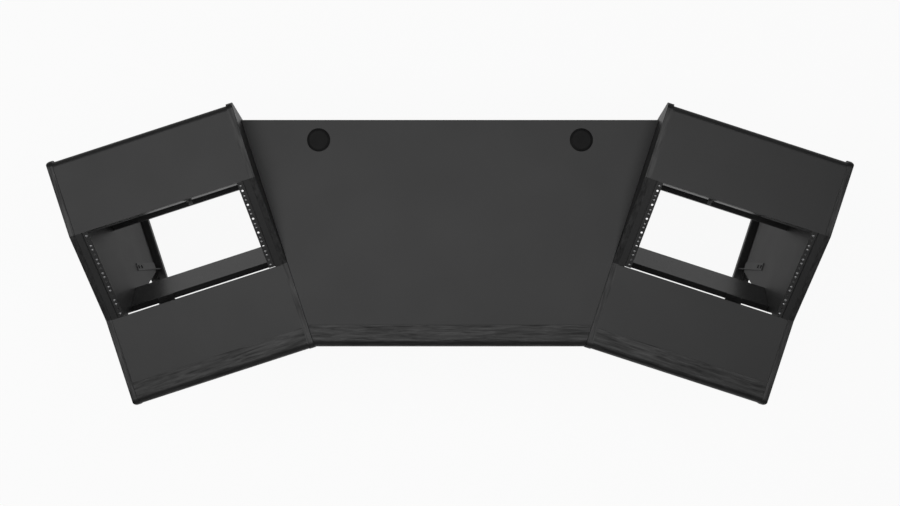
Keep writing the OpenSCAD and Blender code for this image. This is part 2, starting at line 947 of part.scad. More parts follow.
module knee_tie() {
    color(black_steel)
        difference() {
            plate(bay_mid + tie_offset - tie_w / 2, tie_w)
                polygon([
                    [tie_y - tie_flange, desk_under],
                    [tie_y, desk_under],
                    [tie_y, over_knee_edge(tie_y, steel_t)],
                    [knee_y, knee_z] - knee_along * steel_t,
                    [knee_y, knee_z],
                    [tie_y - steel_t, over_knee_edge(tie_y - steel_t, 0)],
                    [tie_y - steel_t, desk_under - steel_t],
                    [tie_y - tie_flange, desk_under - steel_t]
                ]);
            tie_screw_frame()
                bolt_hole(steel_t);
            tie_lower_screw_frame()
                bolt_hole(steel_t);
        }
}

module tie_screw_frame() {
    translate([bay_mid + tie_offset, tie_y - tie_flange / 2, desk_under - steel_t])
        children();
}

module tie_lower_screw_frame() {
    on_knee_board()
        translate([bay_mid + tie_offset, -steel_t, -board_t / 2])
            rotate([-90, 0, 0])
                children();
}

// Steel cable clip on the front of the apron, with a hook below it
module cable_clip() {
    hook_bottom = shelf_under - apron_h - clip_drop;
    back = slope_y1 - clip_t;
    front = back - clip_hook - clip_t;
    color(black_steel)
        difference() {
            plate(bay_mid - clip_offset - clip_w / 2, clip_w)
                polygon([
                    [slope_y1, shelf_under + clip_rise],
                    [slope_y1, hook_bottom],
                    [front, hook_bottom],
                    [front, hook_bottom + clip_drop],
                    [front + clip_t, hook_bottom + clip_drop],
                    [front + clip_t, hook_bottom + clip_t],
                    [back, hook_bottom + clip_t],
                    [back, shelf_under + clip_rise]
                ]);
            clip_screw_frame()
                bolt_hole(clip_t);
        }
}

module clip_screw_frame() {
    translate([bay_mid - clip_offset, slope_y1 - clip_t, shelf_under - apron_h / 2])
        rotate([-90, 0, 0])
            children();
}

// Rack rails and their screws

module hole_places(places) {
    for (u = [0 : rack_units - 1], i = places)
        translate([bay_mid - hole_columns / 2, rail_front_margin + u * rack_unit + unit_holes[i], 0])
            children();
}

module rack_rail(outer) {
    color(black_steel)
        across_bay(outer)
            difference() {
                on_slope()
                    translate([bay_x0, slope_len - rail_end_gap, 0])
                        rotate([90, 0, 0])
                            linear_extrude(slope_len - 2 * rail_end_gap)
                                polygon([
                                    [0, 0],
                                    [rail_face_w, 0],
                                    [rail_face_w, -rail_t],
                                    [rail_t, -rail_t],
                                    [rail_t, -rail_side_w],
                                    [0, -rail_side_w]
                                ]);
                on_slope()
                    hole_places([0, 1, 2])
                        translate([0, 0, -rail_t - cut])
                            cylinder(d = rail_hole_d, h = rail_t + 2 * cut);
                rail_screw_frames()
                    bolt_hole(rail_t);
                translate([bay_x0 - cut, slope_y1 - rail_end_gap, desk_h])
                    cube([rail_face_w + 2 * cut, shelf_depth, shelf_z - desk_h + cut]);
            }
}

module rack_screws() {
    dome_r = (pow(rack_head_d / 2, 2) + pow(rack_head_h, 2)) / (2 * rack_head_h);
    color(zinc)
        for (outer = [false, true])
            across_bay(outer)
                on_slope()
                    hole_places([0, 2]) {
                        translate([0, 0, -rack_screw_len])
                            cylinder(d = rail_hole_d - 2 * rack_screw_gap, h = rack_screw_len);
                        rotate_extrude()
                            intersection() {
                                translate([0, rack_head_h - dome_r])
                                    circle(r = dome_r);
                                square([rack_head_d / 2, rack_head_h]);
                            }
                    }
}

// Foot rails, straps and levelling feet

// Upward-open channel along a foot, with a flange on the cheek, a lip along its free edge
// and a welded nut for the stem of each levelling foot
module foot_rail(outer) {
    glides = [channel_y0 + glide_inset, channel_y1 - glide_inset];
    color(black_steel)
        across_bay(outer)
            difference() {
                union() {
                    translate([cheek_t, channel_y1, foot_z])
                        rotate([90, 0, 0])
                            linear_extrude(channel_y1 - channel_y0)
                                polygon([
                                    [0, 0],
                                    [channel_w, 0],
                                    [channel_w, channel_h],
                                    [channel_w - channel_lip, channel_h],
                                    [channel_w - channel_lip, channel_h - steel_t],
                                    [channel_w - steel_t, channel_h - steel_t],
                                    [channel_w - steel_t, steel_t],
                                    [steel_t, steel_t],
                                    [steel_t, channel_h],
                                    [0, channel_h]
                                ]);
                    glide_places(glides)
                        translate([0, 0, foot_z + steel_t])
                            hexagon_nut();
                }
                foot_bolt_frames()
                    bolt_hole(steel_t);
                glide_places(glides)
                    translate([0, 0, foot_z - cut])
                        cylinder(d = stem_d + 2 * stem_gap, h = steel_t + nut_h + 2 * cut);
            }
}

// Each strap lies on the panel, with a tapered fold along its front edge that spreads
// below the panel into a foot in the channel
module straps() {
    color(black_steel)
        for (outer = [false, true])
            across_bay(outer)
                difference() {
                    for (y = strap_places) {
                        translate([bay_x0, y, panel_end])
                            cube([steel_t, strap_w, strap_top - panel_end]);
                        translate([0, y + steel_t, 0])
                            rotate([90, 0, 0])
                                linear_extrude(steel_t)
                                    polygon(strap_fold_outline());
                    }
                    strap_screw_frames()
                        bolt_hole(steel_t);
                }
}

function strap_fold_outline() = [
    [bay_x0, panel_end],
    [bay_x0, strap_screw_heights[1] - bolt_head_d],
    [bay_x0 + steel_t, strap_screw_heights[1] - bolt_head_d],
    [bay_x0 + steel_t + strap_spread, foot_z + channel_h],
    [bay_x0 + steel_t + strap_spread, foot_z + steel_t],
    [bay_x0 - strap_spread, foot_z + steel_t],
    [bay_x0 - strap_spread, foot_z + channel_h]
];

// Screws of the straps, the rack rails, the knee tie and the cable clip
module fitting_screws() {
    color(black_steel) {
        for (outer = [false, true])
            across_bay(outer) {
                strap_screw_frames()
                    bolt(steel_t + bolt_bite);
                rail_screw_frames()
                    bolt(rail_t + bolt_bite);
            }
        tie_screw_frame()
            bolt(steel_t + bolt_bite);
        tie_lower_screw_frame()
            bolt(steel_t + bolt_bite);
        clip_screw_frame()
            bolt(clip_t + bolt_bite);
    }
}

module glide_places(places) {
    for (y = places)
        translate([cheek_t + channel_w / 2, y, 0])
            children();
}

module hexagon_nut() {
    cylinder(d = nut_w / cos(30), h = nut_h, $fn = 6);
}

module glide(outer, y) {
    color(black_plastic)
        across_bay(outer)
            glide_places([y]) {
                cylinder(d = pad_d, h = pad_h);
                translate([0, 0, pad_h])
                    hexagon_nut();
                cylinder(d = stem_d, h = pad_h + nut_h + stem_len);
            }
}

module front_glide(outer) {
    glide(outer, channel_y0 + glide_inset);
}

module back_glide(outer) {
    glide(outer, channel_y1 - glide_inset);
}

// Pieces in their places

module left_desk_bracket() { on_side(LEFT) desk_bracket(); }
module left_grommet_sleeve() { at_grommet(LEFT) grommet_sleeve(); }
module left_grommet_cap() { at_grommet(LEFT) grommet_cap(); }
module left_outer_cheek() { on_side(LEFT) outer_cheek(); }
module left_inner_cheek() { on_side(LEFT) inner_cheek(); }
module left_outer_panel() { on_side(LEFT) side_panel(true); }
module left_inner_panel() { on_side(LEFT) side_panel(false); }
module left_monitor_shelf() { on_side(LEFT) monitor_shelf(); }
module left_shelf_apron() { on_side(LEFT) shelf_apron(); }
module left_armrest() { on_side(LEFT) armrest(); }
module left_armrest_nosing() { on_side(LEFT) armrest_nosing(); }
module left_knee_board() { on_side(LEFT) knee_board(); }
module left_stretcher() { on_side(LEFT) stretcher(); }
module left_outer_rail() { on_side(LEFT) rack_rail(true); }
module left_inner_rail() { on_side(LEFT) rack_rail(false); }
module left_rack_screws() { on_side(LEFT) rack_screws(); }
module left_panel_bolts() { on_side(LEFT) panel_bolts(); }
module left_outer_foot_rail() { on_side(LEFT) foot_rail(true); }
module left_inner_foot_rail() { on_side(LEFT) foot_rail(false); }
module left_straps() { on_side(LEFT) straps(); }
module left_fitting_screws() { on_side(LEFT) fitting_screws(); }
module left_knee_tie() { on_side(LEFT) knee_tie(); }
module left_cable_clip() { on_side(LEFT) cable_clip(); }
module left_outer_front_glide() { on_side(LEFT) front_glide(true); }
module left_outer_back_glide() { on_side(LEFT) back_glide(true); }
module left_inner_front_glide() { on_side(LEFT) front_glide(false); }
module left_inner_back_glide() { on_side(LEFT) back_glide(false); }

module right_desk_bracket() { on_side(RIGHT) desk_bracket(); }
module right_grommet_sleeve() { at_grommet(RIGHT) grommet_sleeve(); }
module right_grommet_cap() { at_grommet(RIGHT) grommet_cap(); }
module right_outer_cheek() { on_side(RIGHT) outer_cheek(); }
module right_inner_cheek() { on_side(RIGHT) inner_cheek(); }
module right_outer_panel() { on_side(RIGHT) side_panel(true); }
module right_inner_panel() { on_side(RIGHT) side_panel(false); }
module right_monitor_shelf() { on_side(RIGHT) monitor_shelf(); }
module right_shelf_apron() { on_side(RIGHT) shelf_apron(); }
module right_armrest() { on_side(RIGHT) armrest(); }
module right_armrest_nosing() { on_side(RIGHT) armrest_nosing(); }
module right_knee_board() { on_side(RIGHT) knee_board(); }
module right_stretcher() { on_side(RIGHT) stretcher(); }
module right_outer_rail() { on_side(RIGHT) rack_rail(true); }
module right_inner_rail() { on_side(RIGHT) rack_rail(false); }
module right_rack_screws() { on_side(RIGHT) rack_screws(); }
module right_panel_bolts() { on_side(RIGHT) panel_bolts(); }
module right_outer_foot_rail() { on_side(RIGHT) foot_rail(true); }
module right_inner_foot_rail() { on_side(RIGHT) foot_rail(false); }
module right_straps() { on_side(RIGHT) straps(); }
module right_fitting_screws() { on_side(RIGHT) fitting_screws(); }
module right_knee_tie() { on_side(RIGHT) knee_tie(); }
module right_cable_clip() { on_side(RIGHT) cable_clip(); }
module right_outer_front_glide() { on_side(RIGHT) front_glide(true); }
module right_outer_back_glide() { on_side(RIGHT) back_glide(true); }
module right_inner_front_glide() { on_side(RIGHT) front_glide(false); }
module right_inner_back_glide() { on_side(RIGHT) back_glide(false); }

desktop();
desktop_nosing();
modesty_panel();
modesty_brackets();
modesty_screws();
desk_screws();

left_desk_bracket();
left_grommet_sleeve();
left_grommet_cap();
left_outer_cheek();
left_inner_cheek();
left_outer_panel();
left_inner_panel();
left_monitor_shelf();
left_shelf_apron();
left_armrest();
left_armrest_nosing();
left_knee_board();
left_stretcher();
left_outer_rail();
left_inner_rail();
left_rack_screws();
left_panel_bolts();
left_outer_foot_rail();
left_inner_foot_rail();
left_straps();
left_fitting_screws();
left_knee_tie();
left_cable_clip();
left_outer_front_glide();
left_outer_back_glide();
left_inner_front_glide();
left_inner_back_glide();

right_desk_bracket();
right_grommet_sleeve();
right_grommet_cap();
right_outer_cheek();
right_inner_cheek();
right_outer_panel();
right_inner_panel();
right_monitor_shelf();
right_shelf_apron();
right_armrest();
right_armrest_nosing();
right_knee_board();
right_stretcher();
right_outer_rail();
right_inner_rail();
right_rack_screws();
right_panel_bolts();
right_outer_foot_rail();
right_inner_foot_rail();
right_straps();
right_fitting_screws();
right_knee_tie();
right_cable_clip();
right_outer_front_glide();
right_outer_back_glide();
right_inner_front_glide();
right_inner_back_glide();
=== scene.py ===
"""The looks of the studio desk: charcoal boards, black-stained wood, black steel and zinc screws."""

import json
import math

import bmesh
import bpy
from mathutils import Matrix, Vector


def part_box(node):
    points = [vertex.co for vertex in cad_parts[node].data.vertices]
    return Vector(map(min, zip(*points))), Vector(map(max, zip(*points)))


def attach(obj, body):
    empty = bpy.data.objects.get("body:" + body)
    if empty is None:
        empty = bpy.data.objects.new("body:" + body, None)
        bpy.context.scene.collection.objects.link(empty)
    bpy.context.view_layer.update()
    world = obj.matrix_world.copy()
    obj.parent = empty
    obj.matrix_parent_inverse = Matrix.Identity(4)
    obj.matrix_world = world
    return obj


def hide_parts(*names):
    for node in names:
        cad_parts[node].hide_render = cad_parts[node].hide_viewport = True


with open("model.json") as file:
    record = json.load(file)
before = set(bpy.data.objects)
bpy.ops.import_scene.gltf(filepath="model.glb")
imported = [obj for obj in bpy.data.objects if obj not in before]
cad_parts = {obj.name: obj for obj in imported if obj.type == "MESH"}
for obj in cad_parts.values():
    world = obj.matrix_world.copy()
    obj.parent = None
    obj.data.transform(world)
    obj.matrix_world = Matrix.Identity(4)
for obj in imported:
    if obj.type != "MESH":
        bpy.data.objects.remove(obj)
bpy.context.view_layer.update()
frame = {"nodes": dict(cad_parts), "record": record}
scene = bpy.context.scene
MM = 0.001

# The desktop, in metres
DESK_H = 0.750
DESK_FRONT_W = 0.7966
DESK_GAP = 0.5 * MM
FRONT_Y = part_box("desktop_nosing")[0][1]
NOSING_DEPTH = 0.065
NOSING_T = 0.031

# A side rack, from its inner cheek to its outer one
SIDES = {"left": -1, "right": 1}
WING_ANGLE = math.radians(18)
BAY_W = 0.488
PANEL_T = 0.019
CHEEK_T = 0.018
WING_W = 2 * (CHEEK_T + PANEL_T) + BAY_W

# Its sloped rack bay, with the places of two screws in every rack unit
RACK_SLOPE = math.radians(20)
RACK_UNIT = 0.04445
RACK_UNITS = 6
RAIL_FRONT_MARGIN = 0.0035
RAIL_BACK_MARGIN = 0.0064
SCREW_PLACES = (0.00635, 0.0381)
HOLE_COLUMNS = 0.4651
SLOPE_LEN = RAIL_FRONT_MARGIN + RACK_UNITS * RACK_UNIT + RAIL_BACK_MARGIN
SLOPE_Y0 = 0.2615
SLOPE_Y1 = SLOPE_Y0 + SLOPE_LEN * math.cos(RACK_SLOPE)

# Its monitor shelf, and the ends of its cheeks
SHELF_Z = DESK_H + SLOPE_LEN * math.sin(RACK_SLOPE)
SHELF_T = 0.019
SHELF_Y1 = SLOPE_Y1 + 0.221
CHEEK_FRONT = -0.00175
CHEEK_BACK = SHELF_Y1 + 0.0054

# Radii and widths of the edges
NOSE_R = 0.0205
NOSE_UNDER_R = 0.009
SHELF_NOSE_R = 0.0185
CHEEK_END_R = 0.020
CHEEK_OUTER_R = 0.0038
BACK_EDGE_R = 0.003
SEAM_R = 1.3 * MM
BOARD_R = 0.4 * MM
RAIL_BEND_R = 0.0032
STEEL_R = 0.4 * MM
PLASTIC_R = 0.35 * MM
BOLT_EDGE_R = 0.8 * MM


# Places

def wing_matrix(side):
    """From a side rack's own frame, across, back and up from its front inner corner, to the desk's."""
    turn = Matrix.Rotation(-WING_ANGLE, 4, "Z")
    place = Matrix.Translation((DESK_FRONT_W / 2, FRONT_Y, 0)) @ turn
    if SIDES[side] < 0:
        place = Matrix.Diagonal((-1, 1, 1, 1)) @ place
    return place


WING = {side: wing_matrix(side) for side in SIDES}
TO_WING = {side: WING[side].inverted() for side in SIDES}
SLOPE = Matrix.Translation((0, SLOPE_Y0, DESK_H)) @ Matrix.Rotation(RACK_SLOPE, 4, "X")
BODY_OF = {
    node: body
    for body, nodes in frame["record"]["behaviour"]["bodies"].items()
    for node in nodes
}
SLOT_OF = {row["node"]: row["material_slot"] for row in frame["record"]["subparts"]}


# Materials

def set_inputs(node, **values):
    """Sets plain sockets of a node by name, with underscores for spaces."""
    for name, value in values.items():
        node.inputs[name.replace("_", " ")].default_value = value


def new_group(name, inputs, outputs):
    group = bpy.data.node_groups.new(name, "ShaderNodeTree")
    for socket, kind, value in inputs:
        made = group.interface.new_socket(socket, in_out="INPUT", socket_type=kind)
        if value is not None:
            made.default_value = value
    for socket, kind in outputs:
        group.interface.new_socket(socket, in_out="OUTPUT", socket_type=kind)
    start = group.nodes.new("NodeGroupInput")
    end = group.nodes.new("NodeGroupOutput")
    return group, start, end


def noise(tree, vector, detail, roughness, distortion):
    node = tree.nodes.new("ShaderNodeTexNoise")
    set_inputs(node, Scale=1.0, Detail=detail, Roughness=roughness, Distortion=distortion)
    tree.links.new(vector, node.inputs["Vector"])
    return node.outputs["Fac"]


def math_node(tree, operation, *values):
    """A sum on numbers and sockets, in the order in which the node takes them."""
    node = tree.nodes.new("ShaderNodeMath")
    node.operation = operation
    for socket, value in zip(node.inputs, values):
        if isinstance(value, (int, float)):
            socket.default_value = value
        else:
            tree.links.new(value, socket)
    return node.outputs[0]


def varied(tree, pattern, middle, spread):
    """A value that a pattern from 0 to 1 moves by half the spread either side of its middle."""
    return math_node(tree, "MULTIPLY_ADD", pattern, spread, middle - spread / 2)


def stretched(tree, vector, turn, scale):
    """A vector turned about Z and scaled, so that a pattern runs along a piece."""
    node = tree.nodes.new("ShaderNodeMapping")
    node.vector_type = "POINT"
    tree.links.new(vector, node.inputs["Vector"])
    node.inputs["Rotation"].default_value = (0, 0, turn)
    node.inputs["Scale"].default_value = scale
    return node.outputs["Vector"]


def surface_variation():
    """Slow mottling and a fine grain, each from 0 to 1."""
    group, start, end = new_group(
        "surface_variation",
        (
            ("Vector", "NodeSocketVector", None),
            ("Mottle Scale", "NodeSocketFloat", 9.0),
            ("Grain Scale", "NodeSocketFloat", 900.0),
        ),
        (("Mottle", "NodeSocketFloat"), ("Grain", "NodeSocketFloat")),
    )
    for pattern, detail in (("Mottle", 4), ("Grain", 2)):
        node = group.nodes.new("ShaderNodeTexNoise")
        node.inputs["Detail"].default_value = detail
        group.links.new(start.outputs["Vector"], node.inputs["Vector"])
        group.links.new(start.outputs[pattern + " Scale"], node.inputs["Scale"])
        group.links.new(node.outputs["Fac"], end.inputs[pattern])
    return group


# How often the wood's figure changes in a metre: along the grain, and both ways across it
STREAK_SCALE = (13, 150, 150)
PORE_SCALE = (45, 900, 900)


def wood_figure():
    """Streaks and open pores of stained wood; the vector's X runs along the grain."""
    group, start, end = new_group(
        "wood_figure",
        (("Vector", "NodeSocketVector", None),),
        (("Streaks", "NodeSocketFloat"), ("Pores", "NodeSocketFloat")),
    )
    vector = start.outputs["Vector"]
    streaks = stretched(group, vector, 0, STREAK_SCALE)
    streaks = noise(group, streaks, detail=5, roughness=0.62, distortion=0.6)
    pores = stretched(group, vector, 0, PORE_SCALE)
    pores = noise(group, pores, detail=3, roughness=0.6, distortion=0.2)
    group.links.new(streaks, end.inputs["Streaks"])
    group.links.new(pores, end.inputs["Pores"])
    return group


SURFACE = surface_variation()
WOOD = wood_figure()


def new_material(name):
    material = bpy.data.materials.new(name)
    material.use_nodes = True
    tree = material.node_tree
    shader = tree.nodes["Principled BSDF"]
    place = tree.nodes.new("ShaderNodeTexCoord").outputs["Object"]
    return material, tree, shader, place


def use_group(tree, group, vector, **values):
    node = tree.nodes.new("ShaderNodeGroup")
    node.node_tree = group
    tree.links.new(vector, node.inputs["Vector"])
    set_inputs(node, **values)
    return node


def ramp(tree, factor, stops):
    node = tree.nodes.new("ShaderNodeValToRGB")
    first, last = node.color_ramp.elements
    first.position, first.color = stops[0][0], (*stops[0][1], 1)
    last.position, last.color = stops[-1][0], (*stops[-1][1], 1)
    for position, colour in stops[1:-1]:
        node.color_ramp.elements.new(position).color = (*colour, 1)
    tree.links.new(factor, node.inputs["Fac"])
    return node.outputs["Color"]


def grey(value):
    """A grey with a trace of blue."""
    return (value, value, value * 1.01)


def mottled(tree, pattern, dark, light):
    """A grey that a pattern moves between a dark and a light shade."""
    return ramp(tree, pattern, ((0.3, grey(dark)), (0.7, grey(light))))


def bump(tree, shader, height, strength, distance):
    node = tree.nodes.new("ShaderNodeBump")
    node.inputs["Strength"].default_value = strength
    node.inputs["Distance"].default_value = distance
    tree.links.new(height, node.inputs["Height"])
    tree.links.new(node.outputs["Normal"], shader.inputs["Normal"])


def board_laminate(name, roughness):
    """Matt charcoal laminate with a fine pebbled face."""
    material, tree, shader, place = new_material(name)
    look = use_group(tree, SURFACE, place, Mottle_Scale=7.0, Grain_Scale=1300.0)
    mottle, grain = look.outputs["Mottle"], look.outputs["Grain"]
    blend = math_node(tree, "MULTIPLY_ADD", grain, 0.35, mottle)
    colour = ramp(tree, blend, ((0.45, grey(0.0150)), (0.90, grey(0.0176))))
    tree.links.new(colour, shader.inputs["Base Color"])
    tree.links.new(varied(tree, mottle, roughness, 0.10), shader.inputs["Roughness"])
    set_inputs(shader, Specular_IOR_Level=0.37)
    bump(tree, shader, grain, 0.12, 0.0003)
    return material


def stained_wood(name, turn, lacquer=0.48):
    """Black-stained solid wood whose grain runs along the piece, under a thin satin lacquer."""
    material, tree, shader, place = new_material(name)
    figure = use_group(tree, WOOD, stretched(tree, place, turn, (1, 1, 1)))
    streaks, pores = figure.outputs["Streaks"], figure.outputs["Pores"]
    look = use_group(tree, SURFACE, place, Mottle_Scale=14.0, Grain_Scale=700.0)
    blend = math_node(tree, "MULTIPLY_ADD", pores, 0.4, streaks)
    colour = ramp(tree, blend, ((0.40, grey(0.008)), (0.70, grey(0.0135)), (0.95, grey(0.019))))
    tree.links.new(colour, shader.inputs["Base Color"])
    tree.links.new(varied(tree, look.outputs["Mottle"], 0.39, 0.10), shader.inputs["Roughness"])
    tree.links.new(varied(tree, streaks, lacquer, 1.8), shader.inputs["Coat Weight"])
    set_inputs(shader, Specular_IOR_Level=0.09, Coat_Roughness=0.39)
    bump(tree, shader, blend, 0.35, 0.0006)
    return material


def coated_steel(name, shade, roughness):
    """Powder coat with a faint orange peel."""
    material, tree, shader, place = new_material(name)
    look = use_group(tree, SURFACE, place, Mottle_Scale=25.0, Grain_Scale=1500.0)
    mottle, grain = look.outputs["Mottle"], look.outputs["Grain"]
    colour = mottled(tree, mottle, 0.85 * shade, 1.15 * shade)
    tree.links.new(colour, shader.inputs["Base Color"])
    tree.links.new(varied(tree, grain, roughness, 0.15), shader.inputs["Roughness"])
    set_inputs(shader, Specular_IOR_Level=0.5)
    bump(tree, shader, grain, 0.25, 0.0002)
    return material


def zinc_plate(name, shade, roughness):
    """Zinc of the screws, faintly mottled."""
    material, tree, shader, place = new_material(name)
    look = use_group(tree, SURFACE, place, Mottle_Scale=120.0, Grain_Scale=2500.0)
    mottle, grain = look.outputs["Mottle"], look.outputs["Grain"]
    tree.links.new(mottled(tree, mottle, 0.9 * shade, 1.1 * shade), shader.inputs["Base Color"])
    tree.links.new(varied(tree, grain, roughness, 0.18), shader.inputs["Roughness"])
    set_inputs(shader, Metallic=1.0)
    bump(tree, shader, grain, 0.1, 0.0001)
    return material


def black_plastic():
    """Moulded black plastic with a spark-eroded face."""
    material, tree, shader, place = new_material("moulded_black_plastic")
    look = use_group(tree, SURFACE, place, Mottle_Scale=40.0, Grain_Scale=1800.0)
    mottle, grain = look.outputs["Mottle"], look.outputs["Grain"]
    tree.links.new(mottled(tree, mottle, 0.008, 0.011), shader.inputs["Base Color"])
    tree.links.new(varied(tree, grain, 0.56, 0.12), shader.inputs["Roughness"])
    set_inputs(shader, Specular_IOR_Level=0.10)
    bump(tree, shader, grain, 0.3, 0.0002)
    return material


LAMINATE = board_laminate("charcoal_laminate", 0.45)
UPRIGHT_LAMINATE = board_laminate("charcoal_laminate_upright", 0.25)
STEEL = coated_steel("black_powder_coat", 0.012, 0.43)
# The foot rails' black steel is painted lighter than the other black steel so that the lips of the
# rails look lit: painted light, not a different coat.
FOOT_STEEL_PAINTED_LIT = coated_steel("satin_black_steel_painted_lighter", 0.022, 0.35)
STRAP_STEEL = coated_steel("grey_powder_coat", 0.050, 0.50)
ZINC = zinc_plate("bright_zinc", 0.50, 0.31)
SCREW_STEEL = zinc_plate("dull_zinc", 0.27, 0.24)
PLASTIC = black_plastic()
DESK_NOSING = stained_wood("stained_nosing", 0, lacquer=0.42)
WING_NOSING = {
    "left": stained_wood("stained_nosing_left", -WING_ANGLE, lacquer=0.44),
    "right": stained_wood("stained_nosing_right", WING_ANGLE, lacquer=0.44),
}
CHEEK_WOOD = {
    "left": stained_wood("stained_cheek_left", -WING_ANGLE - math.pi / 2),
    "right": stained_wood("stained_cheek_right", WING_ANGLE - math.pi / 2),
}
BY_SLOT = {
    "laminate": LAMINATE,
    "black_steel": STEEL,
    "zinc": ZINC,
    "black_plastic": PLASTIC,
}


# Shaping

# Bends sharper than these are rounded, and are shown with a crease
SHARP = math.radians(30)
CREASE = math.radians(16)
# Faces that bend less than this become one, and points nearer than this are merged
FLAT = math.radians(0.5)
MERGE = 0.01 * MM


def tidied(shape):
    bmesh.ops.remove_doubles(shape, verts=shape.verts, dist=MERGE)
    bmesh.ops.dissolve_limit(shape, angle_limit=FLAT, verts=shape.verts, edges=shape.edges)
    return shape


def copy_of(node):
    """The mesh of a CAD node, merged, with its flat faces in one piece."""
    shape = bmesh.new()
    shape.from_mesh(frame["nodes"][node].data)
    return tidied(shape)


def prism(corners, way):
    """A flat face with the given corners, drawn out the given way."""
    shape = bmesh.new()
    face = shape.faces.new([shape.verts.new(corner) for corner in corners])
    drawn = bmesh.ops.extrude_face_region(shape, geom=[face])["geom"]
    moved = [part for part in drawn if isinstance(part, bmesh.types.BMVert)]
    bmesh.ops.translate(shape, vec=way, verts=moved)
    bmesh.ops.recalc_face_normals(shape, faces=shape.faces)
    return shape


def slab(plan, top, thickness):
    """A board of any outline, given by the corners of its top face."""
    return prism([(x, y, top) for x, y in plan], (0, 0, -thickness))


def turned(profile, steps):
    """A turned shape about Z from points (radius, height), the first and the last on the axis."""
    shape = bmesh.new()
    points = [shape.verts.new((radius, 0, height)) for radius, height in profile]
    lines = [shape.edges.new(ends) for ends in zip(points, points[1:])]
    bmesh.ops.spin(
        shape, geom=points + lines, cent=(0, 0, 0), axis=(0, 0, 1),
        angle=math.tau, steps=steps, use_merge=True,
    )
    bmesh.ops.remove_doubles(shape, verts=shape.verts, dist=MERGE)
    bmesh.ops.recalc_face_normals(shape, faces=shape.faces)
    return shape


def block(low, high):
    shape = bmesh.new()
    low, high = Vector(low), Vector(high)
    size = Matrix.Diagonal((*(high - low), 1))
    bmesh.ops.create_cube(shape, size=1, matrix=Matrix.Translation((low + high) / 2) @ size)
    return shape


def placed(shape, matrix):
    """The shape in its place, with its faces still outwards where the place is a mirror image."""
    bmesh.ops.transform(shape, matrix=matrix, verts=shape.verts)
    if matrix.determinant() < 0:
        bmesh.ops.reverse_faces(shape, faces=shape.faces)
    return shape


def round_edges(shape, edges, width, segments, clamp=True):
    if edges:
        bmesh.ops.bevel(
            shape, geom=edges, offset=width, offset_type="OFFSET", affect="EDGES",
            segments=segments, profile=0.5, material=-1, clamp_overlap=clamp,
        )
    return shape


def is_sharp(edge):
    """Whether an edge between two faces stands out and bends enough to be rounded."""
    return len(edge.link_faces) == 2 and edge.calc_face_angle_signed() > SHARP


def extent(verts):
    """The largest width of some vertices along an axis."""
    return max(max(v.co[i] for v in verts) - min(v.co[i] for v in verts) for i in range(3))


def without_small_holes(edges, least):
    """Leaves out the chains of edges that go round something smaller than the least size."""
    left = set(edges)
    kept = []
    for first in edges:
        if first not in left:
            continue
        left.discard(first)
        chain = [first]
        for edge in chain:
            for vert in edge.verts:
                for other in vert.link_edges:
                    if other in left:
                        left.discard(other)
                        chain.append(other)
        if extent({vert for edge in chain for vert in edge.verts}) > least:
            kept += chain
    return kept


def soften(shape, width, least=0.025):
    """Takes the edge off every sharp bend, but not round holes smaller than the least size."""
    sharp = [edge for edge in shape.edges if is_sharp(edge)]
    return round_edges(shape, without_small_holes(sharp, least), width, segments=2)


def cut_away(shape, cutter):
    """The first shape with the second one cut out of it. Both are used up."""
    scraps = []
    for part in (shape, cutter):
        mesh = bpy.data.meshes.new("scrap")
        part.to_mesh(mesh)
        part.free()
        scrap = bpy.data.objects.new("scrap", mesh)
        scene.collection.objects.link(scrap)
        scraps.append(scrap)
    cut = scraps[0].modifiers.new("cut", "BOOLEAN")
    cut.object = scraps[1]
    cut.solver = "EXACT"
    graph = bpy.context.evaluated_depsgraph_get()
    mesh = bpy.data.meshes.new_from_object(scraps[0].evaluated_get(graph))
    result = bmesh.new()
    result.from_mesh(mesh)
    for mesh in [mesh] + [scrap.data for scrap in scraps]:
        bpy.data.meshes.remove(mesh)
    return result


def finish_piece(name, shape, material, node):
    """Makes a shape a piece of the desk in place of a CAD node, smooth where it bends gently."""
    mesh = bpy.data.meshes.new(name)
    for face in shape.faces:
        face.smooth = True
    for edge in shape.edges:
        edge.smooth = len(edge.link_faces) == 2 and edge.calc_face_angle(0) < CREASE
    shape.to_mesh(mesh)
    shape.free()
    mesh.materials.append(material)
    piece = bpy.data.objects.new(name, mesh)
    scene.collection.objects.link(piece)
    flats = piece.modifiers.new("flats", "WEIGHTED_NORMAL")
    flats.keep_sharp = True
    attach(piece, BODY_OF[node])
    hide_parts(node)


# Wood and boards

def rounding_cutter(end, top, way, steps=12):
    """What lies outside a cheek's round at its front end, way -1, or at its back end, way 1."""
    reach = 0.01
    # The round stays this far off the cheek's own faces, so that it leaves no sliver on them
    clear = 0.02 * MM
    end += way * clear
    top += clear
    rim = [
        (
            end - way * CHEEK_END_R * (1 - math.cos(turn)),
            top - CHEEK_END_R * (1 - math.sin(turn)),
        )
        for turn in (i * math.pi / 2 / steps for i in range(steps + 1))
    ]
    low = (end + way * reach, top - CHEEK_END_R)
    high = (end - way * CHEEK_END_R, top + reach)
    corner = (end + way * reach, top + reach)
    return prism([(-reach, y, z) for y, z in [low, *rim, high, corner]], (WING_W + 2 * reach, 0, 0))


def far_top_edge(shape, axis):
    """The edge of a board's top that lies farthest out along an axis: 0 across, 1 back."""
    top = max(v.co.z for v in shape.verts)
    end = max(v.co[axis] for v in shape.verts)
    return [
        e for e in shape.edges
        if all(abs(v.co.z - top) < MERGE and abs(v.co[axis] - end) < MERGE for v in e.verts)
    ]


# A cheek's top edges lie above this height
RIM_Z = DESK_H - 0.03
# Least upward part of a top face's normal: on level and sloped tops, and on rounded ends too
TOP_RISE = 0.85
ROUND_RISE = 0.3
# Most upward or downward part of an upright face's normal
UPRIGHT = 0.1


def faces_in(normal):
    return normal.x < -0.9


def faces_out_or_along(normal):
    return normal.x > -0.5


